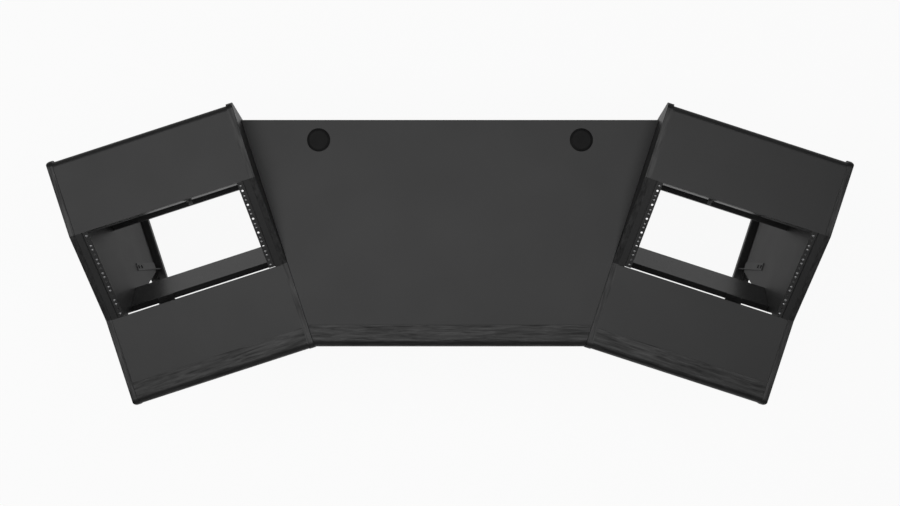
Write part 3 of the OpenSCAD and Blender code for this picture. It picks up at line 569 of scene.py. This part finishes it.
def rim_edges(shape, least_rise, faces_right_way):
    """The sharp edges between a cheek's top and those upright faces that face the right way."""
    found = []
    for edge in shape.edges:
        if is_sharp(edge) and min(vert.co.z for vert in edge.verts) > RIM_Z:
            upper, upright = sorted((face.normal for face in edge.link_faces), key=lambda n: -n.z)
            if upper.z > least_rise and abs(upright.z) < UPRIGHT and faces_right_way(upright):
                found.append(edge)
    return found


def cheek(node):
    """A cheek with rounded ends; an outer one also has a round along its outer top edge."""
    side = node.split("_")[0]
    shape = placed(copy_of(node), TO_WING[side])
    if "outer" in node:
        rim = rim_edges(shape, TOP_RISE, faces_out_or_along)
        round_edges(shape, rim, CHEEK_OUTER_R, segments=8, clamp=False)
    shape = cut_away(shape, rounding_cutter(CHEEK_FRONT, DESK_H, way=-1))
    shape = tidied(cut_away(shape, rounding_cutter(CHEEK_BACK, SHELF_Z, way=1)))
    seam = rim_edges(shape, ROUND_RISE, faces_in)
    round_edges(shape, seam, SEAM_R, segments=2, clamp=False)
    return placed(soften(shape, BOARD_R), WING[side])


def nosing(plan):
    """A nosing with a large round over its front, a small one under it and plain other edges."""
    shape = slab(plan, DESK_H, NOSING_T)
    front = min(y for x, y in plan)

    def front_edge(z):
        return [
            e for e in shape.edges
            if all(abs(v.co.y - front) < MERGE and abs(v.co.z - z) < MERGE for v in e.verts)
        ]

    round_edges(shape, front_edge(DESK_H), NOSE_R, segments=12)
    round_edges(shape, front_edge(DESK_H - NOSING_T), NOSE_UNDER_R, segments=8)
    return soften(shape, BOARD_R)


def desk_nosing():
    def half(depth):
        return DESK_FRONT_W / 2 + depth * math.tan(WING_ANGLE) - DESK_GAP / math.cos(WING_ANGLE)

    back = FRONT_Y + NOSING_DEPTH
    return nosing([
        (-half(0), FRONT_Y), (half(0), FRONT_Y), (half(NOSING_DEPTH), back), (-half(NOSING_DEPTH), back)
    ])


def across_rack(y0, y1):
    """The plan of a board between the cheeks of a side rack."""
    return [(CHEEK_T, y0), (WING_W - CHEEK_T, y0), (WING_W - CHEEK_T, y1), (CHEEK_T, y1)]


def round_seam(shape):
    """Rounds the top edge of a board where it meets the outer cheek."""
    round_edges(shape, far_top_edge(shape, 0), SEAM_R, segments=2, clamp=False)


def armrest_nosing(side):
    shape = nosing(across_rack(0, NOSING_DEPTH))
    round_seam(shape)
    return placed(shape, WING[side])


def monitor_shelf(side):
    shape = slab(across_rack(SLOPE_Y1, SHELF_Y1), SHELF_Z, SHELF_T)
    round_edges(shape, far_top_edge(shape, 1), SHELF_NOSE_R, segments=10)
    round_seam(shape)
    return placed(soften(shape, BOARD_R), WING[side])


def armrest(side):
    shape = placed(copy_of(side + "_armrest"), TO_WING[side])
    round_edges(shape, far_top_edge(shape, 1), BACK_EDGE_R / 2, segments=6)
    round_seam(shape)
    return placed(soften(shape, BOARD_R), WING[side])


def desktop_board():
    shape = copy_of("desktop")
    round_edges(shape, far_top_edge(shape, 1), BACK_EDGE_R, segments=8)
    return soften(shape, BOARD_R)


# Rails, screws and levelling feet

def rack_rail(node):
    """A rack rail with a round along the bend between its two legs."""
    side = node.split("_")[0]
    shape = placed(copy_of(node), SLOPE.inverted() @ TO_WING[side])
    middle = WING_W / 2
    reach = max(abs(v.co.x - middle) for v in shape.verts)
    bend = [
        e for e in shape.edges if is_sharp(e)
        and all(abs(v.co.z) < MERGE and abs(abs(v.co.x - middle) - reach) < MERGE for v in e.verts)
    ]
    round_edges(shape, bend, RAIL_BEND_R, segments=8)
    return placed(soften(shape, STEEL_R), WING[side] @ SLOPE)


def thread(radius, depth, bottom, top, pitch):
    """Points of a screw thread's profile, drawn as rings, from its bottom to its top."""
    turns = int((top - bottom) / pitch)
    points = []
    for i in range(turns):
        foot = bottom + i * pitch
        points += [(radius - depth, foot), (radius, foot + pitch / 2)]
    return points + [(radius - depth, bottom + turns * pitch)]


# A rack screw: its domed head with a cross recess, and its shank
SCREW_HEAD_R = 0.0049
SCREW_HEAD_H = 0.0032
SCREW_LENGTH = 0.014
SHANK_R = 0.003
SHANK_TIP_R = 0.0022
SHANK_THREAD = 0.0004
SHANK_PITCH = 0.001
RECESS_ARM = 0.0026
RECESS_HALF_W = 0.0006
RECESS_DEPTH = 0.0019
RECESS_TURN = math.radians(20)
# How far the recesses turn, in radians, from rack unit to rack unit and within one unit
UNIT_TURN = 0.7
PLACE_TURN = 2.1


def rack_screw():
    """A rack screw with its head on z 0 and its tip below."""
    steps = 12
    dome_r = (SCREW_HEAD_R ** 2 + SCREW_HEAD_H ** 2) / (2 * SCREW_HEAD_H)
    span = math.asin(SCREW_HEAD_R / dome_r)
    dome = [
        (
            dome_r * math.sin(span * i / steps),
            SCREW_HEAD_H - dome_r + dome_r * math.cos(span * i / steps),
        )
        for i in range(steps, -1, -1)
    ]
    shank = [(0, -SCREW_LENGTH), (SHANK_TIP_R, -SCREW_LENGTH)]
    shank += thread(SHANK_R, SHANK_THREAD, -SCREW_LENGTH + 0.5 * MM, -1.5 * MM, SHANK_PITCH)
    shank += [(SHANK_R, -1.0 * MM), (SHANK_R, 0)]
    shape = turned(shank + [(SCREW_HEAD_R, 0)] + dome[1:], 32)
    low = (-RECESS_ARM, -RECESS_HALF_W, SCREW_HEAD_H - RECESS_DEPTH)
    high = (RECESS_ARM, RECESS_HALF_W, SCREW_HEAD_H + MM)
    for turn in (0, math.pi / 2):
        arm = placed(block(low, high), Matrix.Rotation(turn + RECESS_TURN, 4, "Z"))
        shape = cut_away(shape, arm)
    return tidied(shape)


def add_copy(whole, shape, place):
    """Adds a copy of a shape to a whole, at a place."""
    part = placed(shape.copy(), place)
    mesh = bpy.data.meshes.new("scrap")
    part.to_mesh(mesh)
    part.free()
    whole.from_mesh(mesh)
    bpy.data.meshes.remove(mesh)


def rack_screws(side):
    """Both columns of rack screws, each screw tightened to a turn of its own."""
    screw = rack_screw()
    whole = bmesh.new()
    for column in (-1, 1):
        for unit in range(RACK_UNITS):
            for height in SCREW_PLACES:
                along = RAIL_FRONT_MARGIN + unit * RACK_UNIT + height
                spot = Matrix.Translation((WING_W / 2 + column * HOLE_COLUMNS / 2, along, 0))
                turn = UNIT_TURN * unit + PLACE_TURN * height / RACK_UNIT + column
                turned_so = Matrix.Rotation(turn, 4, "Z")
                add_copy(whole, screw, WING[side] @ SLOPE @ spot @ turned_so)
    screw.free()
    return whole


def add_hexagon(shape, flats, height, place):
    """Adds a six-sided prism to a shape; flats is its width across the flats."""
    radius = flats / math.sqrt(3)
    bmesh.ops.create_cone(
        shape, cap_ends=True, segments=6, radius1=radius, radius2=radius, depth=height, matrix=place,
    )


BOLT_HEAD_D = 0.012
SOCKET_FLATS = 0.004
SOCKET_DEPTH = 0.0018
# A face with more corners than this is the round end of a bolt or screw
MANY_CORNERS = 10


def bolts(node):
    """The bolts or screws of a node, with a hexagon socket in each head of a bolt's size."""
    shape = copy_of(node)
    heads = [
        (face.calc_center_bounds(), face.normal.copy()) for face in shape.faces
        if len(face.verts) > MANY_CORNERS and abs(extent(face.verts) - BOLT_HEAD_D) < 0.5 * MM
    ]
    rims = [
        e for e in shape.edges if is_sharp(e) and any(
            len(f.verts) > MANY_CORNERS and extent(f.verts) > 0.9 * BOLT_HEAD_D for f in e.link_faces
        )
    ]
    round_edges(shape, rims, BOLT_EDGE_R, segments=3)
    if not heads:
        return shape
    sockets = bmesh.new()
    for middle, out in heads:
        place = Matrix.Translation(middle) @ out.to_track_quat("Z", "Y").to_matrix().to_4x4()
        add_hexagon(sockets, SOCKET_FLATS, 2 * SOCKET_DEPTH, place)
    return tidied(cut_away(shape, sockets))


# A levelling foot: its pad, its nut and its stem
PAD_R = 0.013
PAD_H = 0.008
NUT_FLATS = 0.013
NUT_H = 0.0057
NUT_EDGE_R = 0.4 * MM
STEM_R = 0.004
STEM_THREAD = 0.0005
STEM_PITCH = 0.00125


def foot_pad():
    """The pad: a flat disc with a thick rim, stepped in above it to a shoulder."""
    return turned((
        (0, 0), (PAD_R - 0.0015, 0), (PAD_R - 0.0004, 0.0006), (PAD_R, 0.0016), (PAD_R, 0.0042),
        (PAD_R - 0.0012, 0.0050), (PAD_R - 0.0020, 0.0066), (PAD_R - 0.0034, PAD_H - 0.0003),
        (PAD_R - 0.0044, PAD_H), (0, PAD_H),
    ), 48)


def foot_stem(tip):
    """The threaded stem, from just inside the pad to its tip."""
    nut_top = PAD_H + NUT_H
    rod = [(0, PAD_H - MM), (STEM_R, PAD_H - MM), (STEM_R, nut_top)]
    rod += thread(STEM_R, STEM_THREAD, nut_top + 0.3 * MM, tip - MM, STEM_PITCH)
    return turned(rod + [(STEM_R - 0.8 * MM, tip), (0, tip)], 24)


def foot_nut():
    nut = bmesh.new()
    add_hexagon(nut, NUT_FLATS, NUT_H, Matrix.Translation((0, 0, PAD_H + NUT_H / 2)))
    return soften(nut, NUT_EDGE_R, least=0)


def levelling_foot(node):
    """Makes the two pieces of a levelling foot: its plastic pad, and its steel nut and stem."""
    low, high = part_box(node)
    spot = Matrix.Translation(((low[0] + high[0]) / 2, (low[1] + high[1]) / 2, low[2]))
    finish_piece(node + "_pad", placed(foot_pad(), spot), PLASTIC, node)
    whole = bmesh.new()
    for shape in (foot_nut(), foot_stem(high[2] - low[2])):
        add_copy(whole, shape, spot)
        shape.free()
    finish_piece(node + "_stem", whole, ZINC, node)


# Every node's piece

def material_of(node):
    side = node.split("_")[0]
    if node == "desktop_nosing":
        return DESK_NOSING
    if "nosing" in node:
        return WING_NOSING[side]
    if "cheek" in node:
        return CHEEK_WOOD[side]
    if "foot_rail" in node:
        return FOOT_STEEL_PAINTED_LIT
    if "strap" in node:
        return STRAP_STEEL
    if "rack_screws" in node:
        return SCREW_STEEL
    if "apron" in node or "knee_board" in node or "stretcher" in node:
        return UPRIGHT_LAMINATE
    return BY_SLOT[SLOT_OF[node]]


def shape_of(node):
    side = node.split("_")[0]
    if node == "desktop":
        return desktop_board()
    if node == "desktop_nosing":
        return desk_nosing()
    if "armrest_nosing" in node:
        return armrest_nosing(side)
    if "armrest" in node:
        return armrest(side)
    if "monitor_shelf" in node:
        return monitor_shelf(side)
    if "cheek" in node:
        return cheek(node)
    if node.endswith(("outer_rail", "inner_rail")) and "foot" not in node:
        return rack_rail(node)
    if "rack_screws" in node:
        return rack_screws(side)
    if "bolts" in node or "screws" in node:
        return bolts(node)
    if "grommet" in node:
        return soften(copy_of(node), PLASTIC_R, least=0)
    if SLOT_OF[node] == "black_steel":
        return soften(copy_of(node), STEEL_R)
    return soften(copy_of(node), BOARD_R)


for node in BODY_OF:
    if "glide" in node:
        levelling_foot(node)
    else:
        finish_piece(node + "_look", shape_of(node), material_of(node), node)


# Floor, light and camera

# Half the floor's width, and its colour under the lamps
FLOOR_REACH = 12
FLOOR_GREY = (0.86, 0.86, 0.86, 1)
WHITE = (1, 1, 1, 1)
# Share of plain white in the floor, as the camera sees it and as glossy surfaces reflect it
CAMERA_WHITE = 0.93
GLOSSY_WHITE = 0.30


def pale_floor():
    mesh = bpy.data.meshes.new("floor")
    floor = bpy.data.objects.new("floor", mesh)
    scene.collection.objects.link(floor)
    shape = bmesh.new()
    bmesh.ops.create_grid(shape, x_segments=1, y_segments=1, size=FLOOR_REACH)
    shape.to_mesh(mesh)
    shape.free()
    material = bpy.data.materials.new("pale_floor")
    material.use_nodes = True
    tree = material.node_tree
    tree.nodes.clear()
    out = tree.nodes.new("ShaderNodeOutputMaterial")
    diffuse = tree.nodes.new("ShaderNodeBsdfDiffuse")
    set_inputs(diffuse, Color=FLOOR_GREY)
    white = tree.nodes.new("ShaderNodeEmission")
    set_inputs(white, Color=WHITE, Strength=1.0)
    path = tree.nodes.new("ShaderNodeLightPath")
    camera_ray = path.outputs["Is Camera Ray"]
    seen = math_node(tree, "MAXIMUM", camera_ray, path.outputs["Is Glossy Ray"])
    seen = math_node(tree, "MAXIMUM", seen, path.outputs["Is Transmission Ray"])
    share = math_node(tree, "MULTIPLY", camera_ray, CAMERA_WHITE - GLOSSY_WHITE)
    share = math_node(tree, "MULTIPLY_ADD", seen, GLOSSY_WHITE, share)
    mix = tree.nodes.new("ShaderNodeMixShader")
    tree.links.new(share, mix.inputs[0])
    tree.links.new(diffuse.outputs[0], mix.inputs[1])
    tree.links.new(white.outputs[0], mix.inputs[2])
    tree.links.new(mix.outputs[0], out.inputs["Surface"])
    mesh.materials.append(material)


# Strength of the world's even light
AMBIENT = 0.050

# Softboxes: name, place, the point it faces, width and depth in metres, radiance of its face
LAMPS = (
    ("overhead_left", (-2.15, 0.28, 5.2), (-2.15, 0.28, 0), (3.5, 3.05), 1.86),
    ("overhead_right", (1.10, 0.28, 5.2), (1.10, 0.28, 0), (3.0, 3.05), 1.70),
    ("front", (-0.20, -2.4, 4.9), (-0.1, 0.0, 0.75), (6.4, 1.6), 0.37),
    ("left", (-3.6, 0.2, 3.9), (0, 0, 0.75), (1.6, 3.2), 0.10),
    ("front_wall", (0.0, -5.0, 2.2), (0, 0, 0.75), (8.0, 3.0), 0.16),
    ("back_wall", (0.0, 5.0, 1.8), (0, 0, 0.6), (8.0, 3.0), 0.14),
    ("left_wall", (-5.0, 0.0, 1.8), (0, 0, 0.6), (6.0, 3.0), 0.40),
    ("right_wall", (5.0, 0.0, 1.8), (0, 0, 0.6), (6.0, 3.0), 0.35),
)


# Power of a lamp's face in watts, for each square metre and unit of radiance
LAMP_POWER = 4


def softbox(name, place, aim, size, radiance):
    """A lamp with a wide face, turned towards a point. Its power follows from its radiance."""
    lamp = bpy.data.lights.new(name, "AREA")
    lamp.shape = "RECTANGLE"
    lamp.size, lamp.size_y = size
    lamp.energy = LAMP_POWER * size[0] * size[1] * radiance
    box = bpy.data.objects.new(name, lamp)
    box.location = place
    box.rotation_euler = (Vector(place) - Vector(aim)).to_track_quat("Z", "Y").to_euler()
    box.visible_camera = False
    scene.collection.objects.link(box)


def studio_light():
    world = bpy.data.worlds.new("studio")
    scene.world = world
    world.use_nodes = True
    tree = world.node_tree
    tree.nodes.clear()
    out = tree.nodes.new("ShaderNodeOutputWorld")
    ambient = tree.nodes.new("ShaderNodeBackground")
    set_inputs(ambient, Color=WHITE, Strength=AMBIENT)
    white = tree.nodes.new("ShaderNodeBackground")
    set_inputs(white, Color=WHITE, Strength=1.0)
    path = tree.nodes.new("ShaderNodeLightPath")
    camera_ray = path.outputs["Is Camera Ray"]
    seen = math_node(tree, "MAXIMUM", camera_ray, path.outputs["Is Transmission Ray"])
    mix = tree.nodes.new("ShaderNodeMixShader")
    tree.links.new(seen, mix.inputs[0])
    tree.links.new(ambient.outputs[0], mix.inputs[1])
    tree.links.new(white.outputs[0], mix.inputs[2])
    tree.links.new(mix.outputs[0], out.inputs["Surface"])
    for name, place, aim, size, radiance in LAMPS:
        softbox(name, place, aim, size, radiance)


# The camera of the photograph: its lens and sensor in millimetres, and its place over the desk
LENS = 50
SENSOR = 36
EYE = (0, 0.0073, 4.432)


def photo_camera():
    """A camera that looks straight down."""
    camera = bpy.data.cameras.new("camera")
    camera.lens = LENS
    camera.sensor_width = SENSOR
    eye = bpy.data.objects.new("camera", camera)
    eye.location = EYE
    scene.collection.objects.link(eye)
    scene.camera = eye


pale_floor()
studio_light()
photo_camera()
scene.view_settings.view_transform = "Standard"
